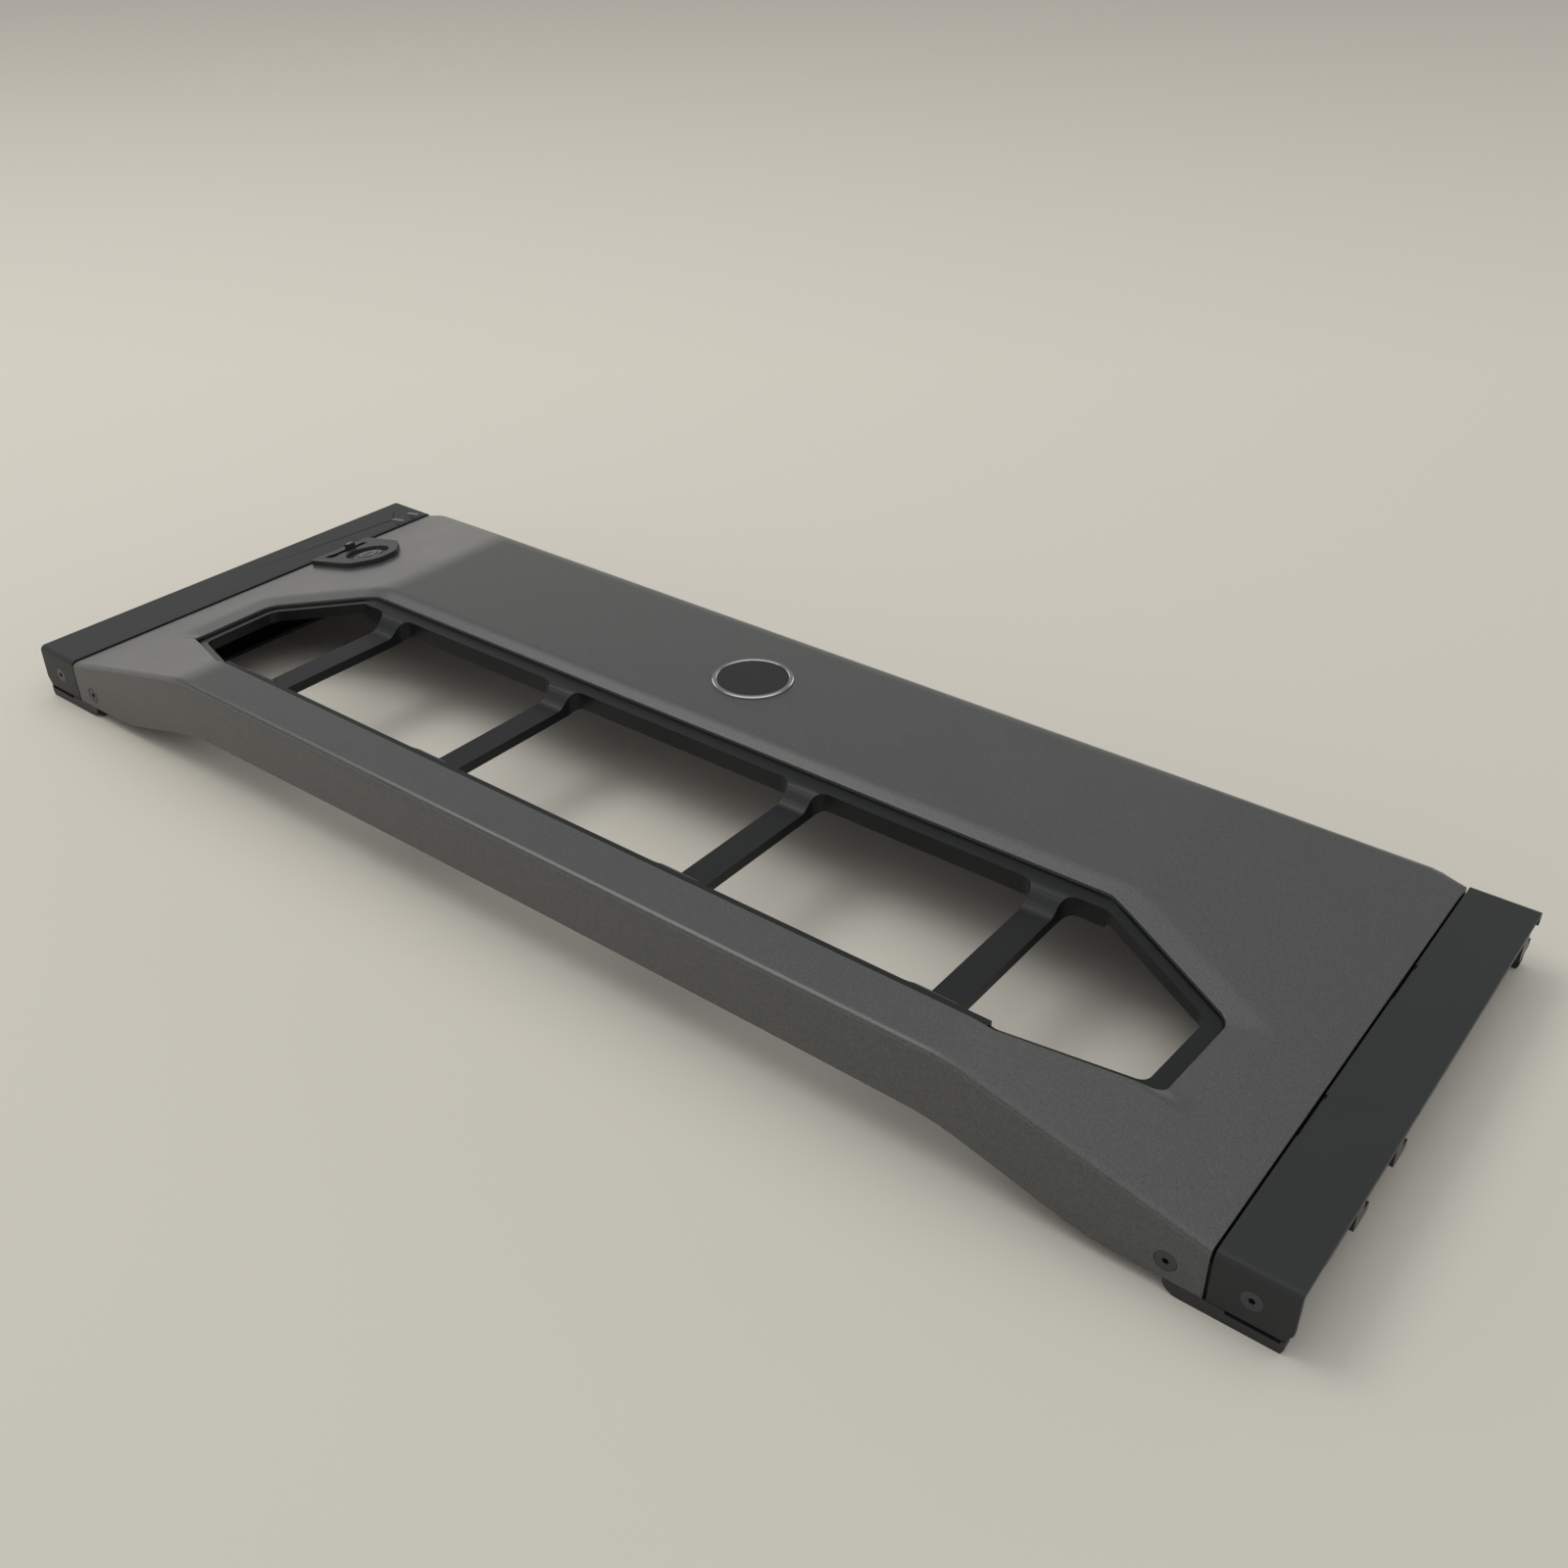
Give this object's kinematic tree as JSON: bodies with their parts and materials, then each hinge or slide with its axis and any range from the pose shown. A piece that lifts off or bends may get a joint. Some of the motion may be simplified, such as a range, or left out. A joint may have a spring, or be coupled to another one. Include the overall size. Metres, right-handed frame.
{
  "type": "server front bezel",
  "caption": "Rack server front bezel: formed grey panel with a five-window frame, black end caps, key lock and sliding release latch",
  "frame": {"origin": "on the table under the middle of the bezel's footprint, with the bezel lying on its back", "axes": "X along the bezel to its right end, Y from its lower to its upper edge, Z out of its face"},
  "size_m": [0.4824, 0.17, 0.0368],
  "materials": {
    "grey_paint": "satin metallic grey paint",
    "frame_plastic": "matte black moulded",
    "cap_plastic": "fine matte black",
    "black_steel": "black powder coat",
    "zinc_steel": "zinc-plated sheet",
    "polished_metal": "bright satin ring",
    "badge_plastic": "black enamel",
    "screw_steel": "plain steel",
    "lock_metal": "dull nickel on die-cast zinc",
    "latch_plastic": "black moulded",
    "white_nylon": "natural nylon",
    "spring_steel": "bright wire",
    "lens_plastic": "milky light pipe",
    "black_screw": "black oxide"
  },
  "bodies": {
    "bezel": {"front_panel": "grey_paint", "window_frame": "frame_plastic", "left_end_cap": "cap_plastic", "right_end_cap": "cap_plastic", "left_base_rail": "black_steel", "right_base_rail": "black_steel", "right_hook_plate": "zinc_steel", "badge_ring": "polished_metal", "badge_disc": "badge_plastic", "badge_clips": "zinc_steel", "lock_plate": "frame_plastic", "lock_plate_screws": "screw_steel", "lock_body": "lock_metal", "lock_nut": "zinc_steel", "guide_screws": "screw_steel", "guide_spacers": "white_nylon", "latch_spring": "spring_steel", "indicator_lenses": "lens_plastic", "cap_screws": "black_screw", "panel_screws": "black_screw", "frame_screws": "screw_steel"},
    "lock_core": {"lock_plug": "lock_metal", "lock_cam": "zinc_steel", "cam_screw": "screw_steel"},
    "latch": {"release_slider": "latch_plastic", "slider_screws": "screw_steel", "latch_bar": "zinc_steel"}
  },
  "joints": [
    {"name": "key_turn", "type": "hinge", "parent": "bezel", "child": "lock_core", "pos_m": [-0.1972, 0.0325, 0.0248], "axis": [-0.2351, 0, 0.972], "range_deg": [0, 90]},
    {"name": "latch_slide", "type": "slide", "parent": "bezel", "child": "latch", "axis": [0, 1, 0], "range_m": [0, 0.005], "stiffness_N_per_m": 200, "springref_m": -0.004, "deforming": ["latch_spring"]}
  ]
}
